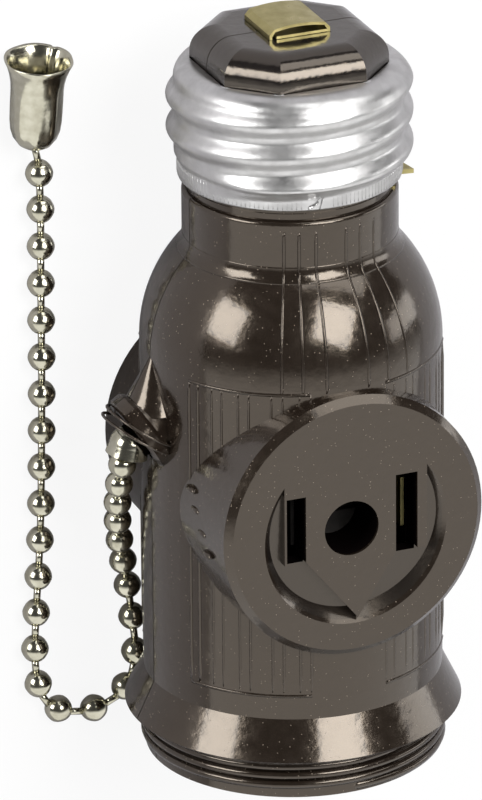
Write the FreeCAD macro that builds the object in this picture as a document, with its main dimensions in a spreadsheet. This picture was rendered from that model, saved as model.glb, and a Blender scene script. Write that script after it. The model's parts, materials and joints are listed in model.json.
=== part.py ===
import FreeCAD, Part
import math
import os
import Sketcher

# A lamp socket adapter: a moulded body in two halves that screws into a lamp socket, takes a
# lamp at its open end, has a plug outlet on its front and its back, and a bead chain that
# works the switch inside. It lies on its back outlet. +Y is the adapter's axis, towards the
# plug shell, and +Z is the way the front outlet looks. The origin is under the outlets'
# centre, on the surface that the part lies on. Lengths are millimetres and angles degrees.

SIZES = {
    # The body's outline: radii about the axis, and heights along it from the outlets.
    "outlet_reach": 17.7,
    "rim_depth": 31.8,
    "thread_ring_radius": 16.1,
    "flange_depth": 27.2,
    "flange_edge": 0.5,
    "flange_radius": 18.3,
    "flange_top_depth": 22.5,
    "barrel_radius": 16.25,
    "barrel_top": 15.6,
    "shoulder_radius": 16.2,
    "neck_radius": 11.57,
    "neck_start": 26.85,
    "neck_top": 33.0,
    "neck_round": 0.5,
    "collar_radius": 11.2,
    "collar_height": 0.7,
    "seat_radius": 10.9,
    "body_wall": 2.1,
    "neck_wall": 1.8,
    "seam_gap": 0.1,
    # The outlets.
    "outlet_radius": 14.88,
    "outlet_base_radius": 15.45,
    "outlet_rim": 0.8,
    "outlet_face": 2.7,
    "outlet_wall": 2.0,
    "outlet_shift": -0.5,
    "outlet_hole_radius": 3.1,
    "dish_radius": 10.9,
    "dish_floor_radius": 9.6,
    "dish_depth": 1.3,
    "dish_tilt": 3.0,
    "dish_lift": 0.45,
    "land_half_width": 8.2,
    "land_bottom": 3.6,
    "land_tip": 10.5,
    "land_tip_x": 0.2,
    "slot_spacing": 12.7,
    "hot_slot_width": 2.2,
    "hot_slot_length": 7.8,
    "neutral_slot_width": 2.5,
    "neutral_slot_length": 9.3,
    "slot_rise": 0.6,
    "pillar_radius": 4.6,
    "head_depth": 7.5,
    "head_radius": 2.85,
    "head_thickness": 1.8,
    "shank_radius": 1.6,
    # The dome over the plug shell.
    "dome_base": 46.8,
    "dome_top": 50.6,
    "dome_half_width": 9.4,
    "dome_corner_half_width": 10.1,
    "dome_arc": 2.9,
    # The plug shell, a lamp screw of 26 mm with seven turns to the inch.
    "shell_bottom": 34.45,
    "shell_root_radius": 12.33,
    "shell_skirt_radius": 11.98,
    "shell_skirt_top": 36.6,
    "shell_crest_rise": 0.8,
    "shell_wall": 0.4,
    "shell_pitch": 3.629,
    "shell_start": 36.4,
    "shell_turns": 2.5,
    "shell_start_angle": 15.0,
    "shell_crest_width": 0.9,
    "shell_root_width": 2.7,
    "shell_roll": 1.8,
    "shell_top": 47.0,
    # The centre contact on the dome, a flattened loop of strip.
    "contact_half_length": 3.45,
    "contact_width": 6.9,
    "contact_rise": 1.25,
    "contact_shift": -0.45,
    "strip": 0.3,
    # The chain's spout in the body's side.
    "spout_x": 17.4,
    "spout_y": 7.2,
    "spout_angle": 32.4,
    "spout_radius": 4.5,
    "spout_band": 1.8,
    "spout_length": 9.6,
    "spout_root_radius": 0.5,
    "spout_mouth_radius": 3.1,
    "spout_mouth_depth": 4.0,
    "spout_bore_radius": 2.2,
    "spout_tail_radius": 3.5,
    "spout_tail_length": 5.9,
    # The straps inside, and the outlets' spring clips.
    "strap": 0.5,
    "strap_x": 8.2,
    "strap_half_width": 4.2,
    "clip_gap": 1.2,
    "clip_width": 5.6,
    "clip_reach": 14.6,
    "clip_foot": 3.6,
    # The switch.
    "pull_angle": 47.47,
    "pull_travel": 7.0,
    "lever_length": 8.0,
    "lever_foot": 13.6,
    "lever_plate": 0.8,
    "lever_height": 2.1,
    "shaft_radius": 0.85,
    "running_gap": 0.06,
    "rotor_radius": 3.3,
    "star_radius": 4.4,
    "ratchet_radius": 3.8,
    "tooth_depth": 0.8,
    "leaf": 0.4,
    "leaf_gap": 0.3,
    # The lamp socket inside the open end.
    "lamp_shell_radius": 13.75,
    "lamp_shell_wall": 0.4,
    "lamp_shell_depth": 29.0,
    "lamp_disc_top": 7.2,
    "lamp_disc_thickness": 1.4,
    "clearance": 0.3,
    # The chain.
    "bead_radius": 1.53,
    "bead_pitch": 4.3,
    "bead_belt": 0.55,
    "bead_end_radius": 0.5,
    "bead_half_length": 1.43,
    "link_radius": 0.43,
    "bell_mouth_radius": 3.7,
    "bell_radius": 2.8,
    "bell_length": 10.5,
    "bell_wall": 0.4,
}


class Size:
    """A length with its value and the formula that makes it from the sheet."""

    def __init__(self, value, text):
        self.value = float(value)
        self.text = text

    def __add__(self, other):
        return Size(self.value + number(other), "(%s + %s)" % (self.text, text(other)))

    def __sub__(self, other):
        return Size(self.value - number(other), "(%s - %s)" % (self.text, text(other)))

    def __rsub__(self, other):
        return Size(number(other) - self.value, "(%s - %s)" % (text(other), self.text))

    def __mul__(self, other):
        return Size(self.value * number(other), "(%s * %s)" % (self.text, text(other)))

    def __truediv__(self, other):
        return Size(self.value / number(other), "(%s / %s)" % (self.text, text(other)))

    def __neg__(self):
        return Size(-self.value, "(-%s)" % self.text)

    __radd__ = __add__
    __rmul__ = __mul__


def number(length):
    return length.value if isinstance(length, Size) else float(length)


def text(length):
    return length.text if isinstance(length, Size) else "%.6g" % length


def size(name):
    return Size(SIZES[name], "Sizes." + name)


doc = FreeCAD.newDocument("lamp_socket_adapter")
sheet = doc.addObject("Spreadsheet::Sheet", "Sizes")
for row, (name, value) in enumerate(SIZES.items(), start=1):
    sheet.set("A%d" % row, name)
    sheet.set("B%d" % row, "%.6g" % value)
    sheet.setAlias("B%d" % row, name)
doc.recompute()

nodes = {}
AXIS = size("outlet_reach")
SPOUT_X, SPOUT_Y = -size("spout_x"), size("spout_y")


def bind(thing, **lengths):
    for name, length in lengths.items():
        path = name.replace("__", ".")
        if isinstance(length, Size):
            thing.setExpression(path, length.text)
        else:
            setattr(thing, path, length)


def place(thing, x=0.0, y=0.0, z=0.0, axis=(0, 0, 1), angle=0.0):
    """Puts a piece at a point, turned about an axis; each length stays bound to the sheet."""
    turn = FreeCAD.Rotation(FreeCAD.Vector(*axis), number(angle))
    spot = FreeCAD.Vector(number(x), number(y), number(z))
    thing.Placement = FreeCAD.Placement(spot, turn)
    for name, length in (("x", x), ("y", y), ("z", z)):
        if isinstance(length, Size):
            thing.setExpression("Placement.Base." + name, length.text)
    if isinstance(angle, Size):
        thing.setExpression("Placement.Rotation.Angle", angle.text)
    return thing


def node(name, thing):
    thing.Label = name
    nodes[name] = thing
    return thing


def outline(body, name, plane, corners):
    """A closed sketch through corners (x, y), or (x, y, radius, side) at an arc's far end.

    The arc's centre is to the left of the way it runs where side is 1, and to the right
    where it is -1. Every corner and radius is a constraint bound to its formula.
    """
    sketch = body.newObject("Sketcher::SketchObject", name)
    support = [item for item in body.Origin.OriginFeatures if item.Role == plane][0]
    sketch.AttachmentSupport = (support, [""])
    sketch.MapMode = "FlatFace"
    ends = []
    spots = [FreeCAD.Vector(number(c[0]), number(c[1]), 0) for c in corners]
    for i, start in enumerate(spots):
        far = corners[(i + 1) % len(corners)]
        end = spots[(i + 1) % len(spots)]
        if len(far) == 2:
            sketch.addGeometry(Part.LineSegment(start, end), False)
            ends.append((1, 2))
            continue
        radius, side = number(far[2]), far[3]
        chord = end - start
        lift = math.sqrt(radius ** 2 - (chord.Length / 2) ** 2)
        centre = (start + end) / 2 + FreeCAD.Vector(-chord.y, chord.x, 0) / chord.Length * lift * side
        first, last = (start, end) if side > 0 else (end, start)
        turn = [math.atan2(spot.y - centre.y, spot.x - centre.x) for spot in (first, last)]
        circle = Part.Circle(centre, FreeCAD.Vector(0, 0, 1), radius)
        sketch.addGeometry(Part.ArcOfCircle(circle, turn[0], turn[1]), False)
        ends.append((1, 2) if side > 0 else (2, 1))
    for i in range(len(corners)):
        after = (i + 1) % len(corners)
        sketch.addConstraint(
            Sketcher.Constraint("Coincident", i, ends[i][1], after, ends[after][0]))
    for i, corner in enumerate(corners):
        for kind, length in (("DistanceX", corner[0]), ("DistanceY", corner[1])):
            index = sketch.addConstraint(
                Sketcher.Constraint(kind, -1, 1, i, ends[i][0], number(length)))
            if isinstance(length, Size):
                sketch.setExpression("Constraints[%d]" % index, length.text)
        if len(corner) == 4:
            before = (i - 1) % len(corners)
            index = sketch.addConstraint(Sketcher.Constraint("Radius", before, number(corner[2])))
            if isinstance(corner[2], Size):
                sketch.setExpression("Constraints[%d]" % index, corner[2].text)
    doc.recompute()
    return sketch


def turned(name, corners):
    """A solid of revolution about the local Y axis, from corners (radius, height)."""
    body = doc.addObject("PartDesign::Body", name)
    sketch = outline(body, name + "_outline", "XY_Plane", corners)
    turn = body.newObject("PartDesign::Revolution", name + "_turn")
    turn.Profile = sketch
    turn.ReferenceAxis = (sketch, ["V_Axis"])
    turn.Angle = 360
    body.Tip = turn
    doc.recompute()
    return body


def padded(name, plane, corners, thickness, centred=True):
    """A plate or a bent strip: an outline padded by its thickness across the plane."""
    body = doc.addObject("PartDesign::Body", name)
    sketch = outline(body, name + "_outline", plane, corners)
    pad = body.newObject("PartDesign::Pad", name + "_pad")
    pad.Profile = sketch
    if centred:
        pad.SideType = "Symmetric"
    bind(pad, Length=thickness)
    body.Tip = pad
    doc.recompute()
    return body


def block(name, x, y, z):
    """A box between two corners, each given as a (low, high) pair."""
    box = doc.addObject("Part::Box", name)
    for side, (low, high) in (("Length", x), ("Width", y), ("Height", z)):
        if isinstance(high, Size) or isinstance(low, Size):
            bind(box, **{side: Size(number(high), text(high)) - low})
        else:
            setattr(box, side, high - low)
    return place(box, x[0], y[0], z[0])


def rod(name, radius, length, x=0.0, y=0.0, z=0.0, axis=(0, 0, 1), angle=0.0):
    cylinder = doc.addObject("Part::Cylinder", name)
    bind(cylinder, Radius=radius, Height=length)
    return place(cylinder, x, y, z, axis, angle)


def taper(name, low_radius, high_radius, length, x=0.0, y=0.0, z=0.0, axis=(0, 0, 1), angle=0.0):
    cone = doc.addObject("Part::Cone", name)
    bind(cone, Radius1=low_radius, Radius2=high_radius, Height=length)
    return place(cone, x, y, z, axis, angle)


def fuse(name, *parts):
    whole = doc.addObject("Part::MultiFuse", name)
    whole.Shapes = list(parts)
    whole.Refine = True
    return whole


def cut(name, base, tool):
    rest = doc.addObject("Part::Cut", name)
    rest.Base = base
    rest.Tool = tool
    return rest


def common(name, *parts):
    shared = doc.addObject("Part::MultiCommon", name)
    shared.Shapes = list(parts)
    return shared


# The body's outer form, turned about the axis, with the flange and the ring under it.
rim = -size("rim_depth")
flange = -size("flange_depth")
barrel = size("barrel_radius")
neck = size("neck_radius")
neck_top = size("neck_top")
seat = size("seat_radius")
outer_form = place(turned("outer_form", [
    (0.0, rim),
    (size("thread_ring_radius"), rim),
    (size("thread_ring_radius"), flange),
    (size("flange_radius") - size("flange_edge"), flange),
    (size("flange_radius"), flange + size("flange_edge")),
    (barrel, -size("flange_top_depth")),
    (barrel, size("barrel_top")),
    (neck, size("neck_start"), size("shoulder_radius"), 1),
    (neck, neck_top - size("neck_round")),
    (neck - size("neck_round"), neck_top, size("neck_round"), 1),
    (size("collar_radius") - 0.2, neck_top),
    (size("collar_radius") - 0.2, neck_top + size("collar_height")),
    (seat, neck_top + size("collar_height")),
    (seat, size("dome_base") - 0.3),
    (0.0, size("dome_base") - 0.3),
]), z=AXIS)

# The space inside it: the lamp socket, the switch's room, the neck and the plug.
lamp_bore = size("lamp_shell_radius") + size("clearance")
disc_bottom = -(size("lamp_disc_top") + size("lamp_disc_thickness"))
room_radius = barrel - size("body_wall") - 0.4
neck_bore = neck - size("neck_wall")
room = place(turned("room", [
    (0.0, rim - 1.0),
    (lamp_bore, rim - 1.0),
    (lamp_bore, -size("lamp_disc_top")),
    (room_radius, -size("lamp_disc_top")),
    (room_radius, size("barrel_top") - 1.5),
    (neck_bore, size("neck_start") - 0.5),
    (neck_bore, size("shell_bottom")),
    (seat - size("neck_wall"), size("shell_bottom") + 1.0),
    (seat - size("neck_wall"), size("dome_base") - 1.0),
    (0.0, size("dome_base") - 1.0),
]), z=AXIS)

# The dome: four arches, two along the flats and two along the corners, where they cross.
def arch(name, half_width, angle):
    foot = size("dome_base") - 0.8
    spring = size("dome_top") - size("dome_arc")
    body = padded(name, "XY_Plane", [
        (-half_width, foot),
        (half_width, foot),
        (half_width, spring),
        (half_width - size("dome_arc"), size("dome_top"), size("dome_arc"), 1),
        (size("dome_arc") - half_width, size("dome_top")),
        (-half_width, spring, size("dome_arc"), 1),
    ], 30.0)
    return place(body, z=AXIS, axis=(0, 1, 0), angle=angle)


dome = common(
    "dome",
    arch("dome_across", size("dome_half_width"), 0.0),
    arch("dome_along", size("dome_half_width"), 90.0),
    arch("dome_corner_left", size("dome_corner_half_width"), 45.0),
    arch("dome_corner_right", size("dome_corner_half_width"), 135.0),
)


# The outlets: a tapered disc at the front and one at the back, each with a hollow behind its
# face, a pillar for the screw, two slots, a screw hole and a dish round the slots.
def outlet(side):
    """The solids that an outlet adds and the ones that it takes away; side is 1 or -1."""
    way = "front" if side > 0 else "back"
    axis, turn = (0, 1, 0), 0.0 if side > 0 else 180.0
    reach = size("outlet_reach")
    shift = size("outlet_shift")
    disc = taper(way + "_disc", size("outlet_base_radius"), size("outlet_radius"),
                 reach - size("outlet_rim"), z=AXIS, axis=axis, angle=turn)
    rim_ring = taper(way + "_disc_rim", size("outlet_radius"),
                     size("outlet_radius") - size("outlet_rim"), size("outlet_rim"),
                     z=AXIS + (reach - size("outlet_rim")) * side, axis=axis, angle=turn)
    hollow = rod(way + "_hollow", size("outlet_radius") - size("outlet_wall"),
                 reach - size("outlet_face"), z=AXIS, axis=axis, angle=turn)
    pillar = rod(way + "_pillar", size("pillar_radius"), reach - size("outlet_face"),
                 x=shift, z=AXIS, axis=axis, angle=turn)
    hole = rod(way + "_screw_hole", size("outlet_hole_radius"), size("head_depth") + 1.0, x=shift,
               z=AXIS + (reach - size("head_depth")) * side, axis=axis, angle=turn)
    shank = rod(way + "_shank_hole", size("shank_radius") + size("running_gap"), reach,
                x=shift, z=AXIS, axis=axis, angle=turn)
    dish_cone = taper(way + "_dish_cone", size("dish_floor_radius"),
                      size("dish_radius") * 2 - size("dish_floor_radius"), size("dish_depth") * 2,
                      z=AXIS + (reach - size("dish_depth") + size("dish_lift")) * side,
                      axis=(1, 0, 0),
                      angle=size("dish_tilt") if side > 0 else Size(180, "180") - size("dish_tilt"))
    half = size("slot_spacing") / 2
    land_low = -size("land_bottom")
    land = place(padded(way + "_land", "XY_Plane", [
        (-size("land_half_width"), size("dish_radius") + 1.0),
        (-size("land_half_width"), land_low + 0.5),
        (shift - half + size("hot_slot_width") / 2, land_low + 0.5),
        (size("land_tip_x"), -size("land_tip")),
        (shift + half - size("neutral_slot_width") / 2, land_low),
        (size("land_half_width"), land_low),
        (size("land_half_width"), size("dish_radius") + 1.0),
    ], 6.0), z=AXIS + reach * side)
    dish = cut(way + "_dish", dish_cone, land)
    takes = [dish, hole, shank]
    for name, place_x, width, length in (
            ("hot", shift - half, size("hot_slot_width"), size("hot_slot_length")),
            ("neutral", shift + half, size("neutral_slot_width"), size("neutral_slot_length"))):
        depth = size("outlet_face") + 2.0
        low = AXIS + (reach - size("outlet_face") - 1.0) if side > 0 else AXIS - reach - 1.0
        takes.append(block("%s_%s_slot" % (way, name), (place_x - width / 2, place_x + width / 2),
                           (size("slot_rise") - length / 2, size("slot_rise") + length / 2),
                           (low, low + depth)))
    return [disc, rim_ring], [hollow], [pillar], takes


front_adds, front_hollows, front_pillars, front_takes = outlet(1)
back_adds, back_hollows, back_pillars, back_takes = outlet(-1)

# The chain's spout: a half-sunk cone with a band round its mouth, on the left of the seam.
spout_turn = Size(90, "90") + size("spout_angle")
spout_band = size("spout_band") / 2
spout = place(turned("spout", [
    (0.0, -size("spout_length")),
    (size("spout_root_radius"), -size("spout_length")),
    (size("spout_radius") - 0.5, -spout_band - 0.1),
    (size("spout_radius") - 0.3, -spout_band - 0.1),
    (size("spout_radius"), -spout_band + 0.3),
    (size("spout_radius"), spout_band - 0.3),
    (size("spout_radius") - 0.4, spout_band),
    (0.0, spout_band),
]), x=SPOUT_X, y=SPOUT_Y, z=AXIS, angle=spout_turn)
spout_tail = taper("spout_tail", size("spout_tail_radius"), 0.3, size("spout_tail_length"),
                   x=SPOUT_X + 1.5, y=SPOUT_Y + 2.6, z=AXIS, axis=(1, 0, 0), angle=-90.0)
spout_mouth = place(turned("spout_mouth", [
    (0.0, -size("spout_mouth_depth") - 1.2),
    (size("spout_bore_radius"), -size("spout_mouth_depth") - 1.2),
    (size("spout_mouth_radius"), -size("spout_mouth_depth")),
    (size("spout_mouth_radius"), 3.0),
    (0.0, 3.0),
]), x=SPOUT_X, y=SPOUT_Y, z=AXIS, angle=spout_turn)
pull_axis = (-math.sin(math.radians(SIZES["pull_angle"])),
             math.cos(math.radians(SIZES["pull_angle"])), 0)
spout_bore = rod("spout_bore", size("spout_bore_radius"), 9.0,
                 x=SPOUT_X, y=SPOUT_Y, z=AXIS, axis=pull_axis, angle=90.0)

# The places in the plug and the dome where the metal strips pass through.
half_loop = size("contact_half_length")
strip = size("strip")
contact_z = AXIS + size("contact_shift")
loop_z = (contact_z - size("contact_width") / 2 - 0.1, contact_z + size("contact_width") / 2 + 0.1)
loop_y = (size("dome_base") - 3.0, size("dome_top") + 1.0)
right_slot = block("dome_right_slot", (half_loop - strip - 0.1, half_loop + 0.1), loop_y, loop_z)
left_slot = block("dome_left_slot", (-half_loop - 0.1, strip + 0.1 - half_loop), loop_y, loop_z)
tab_z = (AXIS + 0.1, AXIS + size("strap_half_width") + 0.2)
tab_y = (size("shell_bottom") - size("strap") - 0.5, size("shell_bottom") - 0.15)
tab_slot = block("tab_slot", (size("strap_x") - 1.0, seat + 2.0), tab_y, tab_z)
switch_seat = block("switch_seat", (-4.0, 3.0), (13.5, 18.5), (AXIS - 14.5, AXIS - 8.65))

solid_form = fuse("solid_form", outer_form, dome, spout, spout_tail,
                  *(front_adds + back_adds))
open_form = fuse("open_form", room, *(front_hollows + back_hollows))
space = cut("space", open_form, fuse("pillars", *(front_pillars + back_pillars)))
taken = fuse("taken", space, spout_mouth, spout_bore, right_slot, left_slot, tab_slot,
             *(front_takes + back_takes))
body_form = cut("body_form", solid_form, taken)
half_gap = size("seam_gap") / 2
front_side = block("front_side", (-30.0, 30.0), (-40.0, 60.0), (AXIS + half_gap, AXIS + 25.0))
back_side = block("back_side", (-30.0, 30.0), (-40.0, 60.0), (0.0, AXIS - half_gap))
node("front_shell", common("front_half", body_form, front_side))
node("back_shell", fuse("back_half", common("back_cut", body_form, back_side), switch_seat))

# The screw through both outlets' middles, with its nut in the back one.
shift = size("outlet_shift")
reach = size("outlet_reach")
head_seat = reach - size("head_depth")
head = rod("screw_head", size("head_radius"), size("head_thickness"), x=shift, z=AXIS + head_seat)
shank = rod("screw_shank", size("shank_radius"), head_seat * 2 + 2.4, x=shift,
            z=AXIS - head_seat - 2.4)
slot = block("screw_slot", (shift - 4.0, shift + 4.0), (-0.4, 0.4),
             (AXIS + head_seat + 1.0, AXIS + head_seat + 3.0))
node("body_screw", cut("body_screw_cut", fuse("screw_blank", head, shank), slot))
nut_corners = [(2.85 * math.cos(math.radians(60 * k)), 2.85 * math.sin(math.radians(60 * k)))
               for k in range(6)]
nut_blank = place(padded("nut_blank", "XY_Plane", nut_corners, 2.2, centred=False),
                  x=shift, z=AXIS - head_seat - 2.2)
nut_hole = rod("nut_hole", size("shank_radius"), 4.0, x=shift, z=AXIS - head_seat - 3.0)
node("body_nut", cut("body_nut_cut", nut_blank, nut_hole))


# The plug shell: sheet with a rolled screw thread, closed round the dome at its top.
def thread(name, radius, rise, start, turns):
    """One turn after another of a trapezoid ridge, standing on a radius."""
    pitch = SIZES["shell_pitch"]
    foot, crest = SIZES["shell_root_width"] / 2, SIZES["shell_crest_width"] / 2
    inner = radius - 0.25
    lean = 0.25 / rise * (foot - crest)
    helix = Part.makeHelix(pitch, pitch * turns, inner)
    section = Part.makePolygon([
        FreeCAD.Vector(inner, 0, -foot - lean), FreeCAD.Vector(radius + rise, 0, -crest),
        FreeCAD.Vector(radius + rise, 0, crest), FreeCAD.Vector(inner, 0, foot + lean),
        FreeCAD.Vector(inner, 0, -foot - lean)])
    ridge = doc.addObject("Part::Feature", name)
    ridge.Shape = Part.Wire(helix.Edges).makePipeShell([section], True, True)
    lay = FreeCAD.Rotation(FreeCAD.Vector(1, 0, 0), -90)
    spin = FreeCAD.Rotation(FreeCAD.Vector(0, 0, 1), 180 + SIZES["shell_start_angle"])
    ridge.Placement = FreeCAD.Placement(
        FreeCAD.Vector(0, start, SIZES["outlet_reach"]), lay.multiply(spin))
    return ridge


root = size("shell_root_radius")
shell_wall = size("shell_wall")
shell_top = size("shell_top")
roll = size("shell_roll")
skirt = size("shell_skirt_radius")
shell_outer = place(turned("shell_outer", [
    (0.0, size("shell_bottom")),
    (skirt, size("shell_bottom")),
    (skirt, size("shell_skirt_top")),
    (root, size("shell_skirt_top") + 0.5),
    (root, shell_top - roll),
    (root - roll, shell_top, roll, 1),
    (0.0, shell_top),
]), z=AXIS)
shell_inner = place(turned("shell_inner", [
    (0.0, size("shell_bottom") - 1.0),
    (skirt - shell_wall, size("shell_bottom") - 1.0),
    (skirt - shell_wall, size("shell_skirt_top")),
    (root - shell_wall, size("shell_skirt_top") + 0.5),
    (root - shell_wall, shell_top - roll),
    (root - roll, shell_top - shell_wall + 0.2, roll - shell_wall + 0.2, 1),
    (0.0, shell_top - shell_wall + 0.2),
]), z=AXIS)
ridge_outer = thread("ridge_outer", SIZES["shell_root_radius"], SIZES["shell_crest_rise"],
                     SIZES["shell_start"], SIZES["shell_turns"])
dome_gap = 0.15
dome_opening = common("dome_opening", *[
    place(padded("opening_%d" % k, "XY_Plane", [
        (-width - dome_gap, shell_top - 2.0), (width + dome_gap, shell_top - 2.0),
        (width + dome_gap, shell_top + 2.0), (-width - dome_gap, shell_top + 2.0)], 30.0),
        z=AXIS, axis=(0, 1, 0), angle=45.0 * k)
    for k, width in enumerate([size("dome_half_width"), size("dome_corner_half_width")] * 2)])
shell_blank = fuse("shell_blank", shell_outer, ridge_outer)
shell_space = fuse("shell_space", shell_inner, dome_opening)
node("base_screw_shell", cut("base_screw_cut", shell_blank, shell_space))

# The centre contact: a strip bent to a flat loop on the dome, with its ends in two slots.
loop_top = size("dome_top") + size("contact_rise")
crown = 14.0
node("base_contact", place(padded("base_contact_strip", "XY_Plane", [
    (-half_loop, size("dome_top") - 5.5),
    (strip - half_loop, size("dome_top") - 5.5),
    (strip - half_loop, loop_top - 0.9),
    (strip - half_loop + 0.35, loop_top - strip - 0.1),
    (half_loop - strip - 0.35, loop_top - strip - 0.1, crown, -1),
    (half_loop - strip, size("dome_top") + strip + 0.05),
    (strip - half_loop + 0.5, size("dome_top") + strip + 0.05),
    (strip - half_loop + 0.5, size("dome_top") + 0.05),
    (half_loop - strip, size("dome_top") + 0.05),
    (half_loop - strip, size("dome_top") - 12.5),
    (half_loop, size("dome_top") - 12.5),
    (half_loop, loop_top - 0.7),
    (half_loop - 0.55, loop_top - 0.1),
    (0.55 - half_loop, loop_top - 0.1, crown, 1),
    (-half_loop, loop_top - 0.7),
], size("contact_width")), z=contact_z))

# The straps: line down the neck, its branch to the outlets' hot clips, and the neutral one.
strap = size("strap")
strap_x = size("strap_x")
strap_half = size("strap_half_width")
hot_x = shift - size("slot_spacing") / 2
neutral_x = shift + size("slot_spacing") / 2
hot_bus_x = -10.0
line_x = (half_loop, half_loop + strap)
low_strip = (AXIS - 3.4, AXIS - 1.4)
node("line_strap", block("line_strap_box", line_x, (16.2, size("dome_top") - 6.5), low_strip))
bus_crossing = block("bus_crossing", (hot_bus_x + strap, half_loop), (20.0, 20.5),
                     (AXIS - 4.6, AXIS - 2.6))
bus_riser = block("bus_riser", (hot_bus_x, hot_bus_x + strap), (4.0, 20.5),
                  (AXIS - 4.6, AXIS - 2.6))
bus_foot = block("bus_foot", (hot_bus_x, hot_bus_x + strap), (-4.0, 4.5),
                 (AXIS - 4.6, AXIS + strap_half))
node("hot_bus", fuse("hot_bus_strip", bus_crossing, bus_riser, bus_foot))
node("neutral_strap", place(padded("neutral_strip", "YZ_Plane", [
    (disc_bottom, -strap_half),
    (6.0, -strap_half),
    (9.0, 0.2),
    (size("shell_bottom") - 0.3 - strap, 0.2),
    (size("shell_bottom") - 0.3 - strap, strap_half),
    (disc_bottom, strap_half),
], strap, centred=False), x=strap_x, z=AXIS))
node("shell_tab", place(padded("shell_tab_plate", "XZ_Plane", [
    (strap_x, 0.3), (11.4, 0.3), (12.1, 2.6), (12.4, 4.5), (10.4, strap_half), (strap_x, strap_half),
], strap, centred=False), y=size("shell_bottom") - 0.3, z=AXIS))


# Each outlet's two spring clips: a leaf each side of the blade, on a foot that meets its strap.
def clip(name, centre, foot_end, side):
    leaf = size("leaf")
    inner, outer = size("clip_gap") / 2, size("clip_gap") / 2 + leaf
    foot = size("clip_foot")
    tip = size("clip_reach")
    out = 1 if foot_end.value > centre.value else -1
    corners = [
        (centre - outer * out, foot), (foot_end, foot), (foot_end, foot + leaf),
        (centre + outer * out, foot + leaf), (centre + outer * out, tip),
        (centre + inner * out, tip), (centre + inner * out, foot + leaf),
        (centre - inner * out, foot + leaf), (centre - inner * out, tip),
        (centre - outer * out, tip)]
    if side < 0:
        corners = [(x, -z) for x, z in corners]
    body = padded(name + "_strip", "XZ_Plane", corners, size("clip_width"))
    node(name, place(body, y=size("slot_rise"), z=AXIS))


bus_face = Size(hot_bus_x, "-10") + strap
clip("front_hot_clip", hot_x, bus_face, 1)
clip("front_neutral_clip", neutral_x, strap_x, 1)
clip("back_hot_clip", hot_x, bus_face, -1)
clip("back_neutral_clip", neutral_x, strap_x, -1)

# The lamp socket: its insulating disc, its screw shell, the centre spring and its rivet.
disc_top = -size("lamp_disc_top")
disc_plate = place(turned("disc_plate", [
    (0.0, disc_bottom), (lamp_bore - 0.1, disc_bottom), (lamp_bore - 0.1, disc_top),
    (0.0, disc_top)]), z=AXIS)
strap_gate = block("strap_gate", (strap_x - 0.1, strap_x + strap + 0.1),
                   (disc_bottom - 1.0, disc_top + 1.0),
                   (AXIS - strap_half - 0.1, AXIS + strap_half + 0.1))
rivet_x, rivet_w = 3.7, AXIS - 2.4
rivet_hole = rod("rivet_hole", 0.78, 12.0, x=rivet_x, y=0.0, z=rivet_w, axis=(1, 0, 0), angle=90.0)
node("socket_disc", cut("socket_disc_cut", disc_plate, fuse("disc_gaps", strap_gate, rivet_hole)))
lamp_shell = size("lamp_shell_radius")
lamp_wall = size("lamp_shell_wall")
node("lamp_screw_shell", place(turned("lamp_shell", [
    (lamp_shell - lamp_wall, -size("lamp_shell_depth")),
    (lamp_shell, -size("lamp_shell_depth")),
    (lamp_shell, disc_bottom),
    (8.0, disc_bottom),
    (8.0, disc_bottom - lamp_wall),
    (lamp_shell - lamp_wall, disc_bottom - lamp_wall),
]), z=AXIS))
leaf = size("leaf")
spring_leaf = place(padded("lamp_spring_leaf", "XY_Plane", [
    (5.8, disc_bottom), (5.8, disc_bottom - leaf), (2.4, disc_bottom - leaf),
    (-1.2, disc_bottom - 2.3), (-2.8, disc_bottom - 2.3), (-2.8, disc_bottom - 1.9),
    (-1.35, disc_bottom - 1.9), (2.3, disc_bottom)], 5.6), z=AXIS - 1.0)
node("lamp_centre_spring", cut("lamp_spring_cut", spring_leaf, rivet_hole))
node("spring_rivet", place(turned("rivet", [
    (0.0, disc_bottom - leaf - 0.5), (1.3, disc_bottom - leaf - 0.5),
    (1.3, disc_bottom - leaf), (0.75, disc_bottom - leaf), (0.75, disc_top + leaf),
    (1.3, disc_top + leaf), (1.3, disc_top + leaf + 0.5), (0.0, disc_top + leaf + 0.5),
]), x=rivet_x, z=rivet_w))

# The switch turns on a shaft across the body, above the outlets.
turn_in = math.radians(SIZES["pull_angle"])
half_turn = math.degrees(math.atan(SIZES["pull_travel"] / 2 / SIZES["lever_length"]))
pivot_x = SPOUT_X + size("lever_foot") * math.cos(turn_in) + size("lever_length") * math.sin(turn_in)
pivot_y = SPOUT_Y + size("lever_foot") * math.sin(turn_in) - size("lever_length") * math.cos(turn_in)
shaft = size("shaft_radius")
gap = size("running_gap")
star = size("star_radius")


def at_pivot(name, radius, low, high):
    return rod(name, radius, high - low, x=pivot_x, y=pivot_y, z=AXIS + low)


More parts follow.
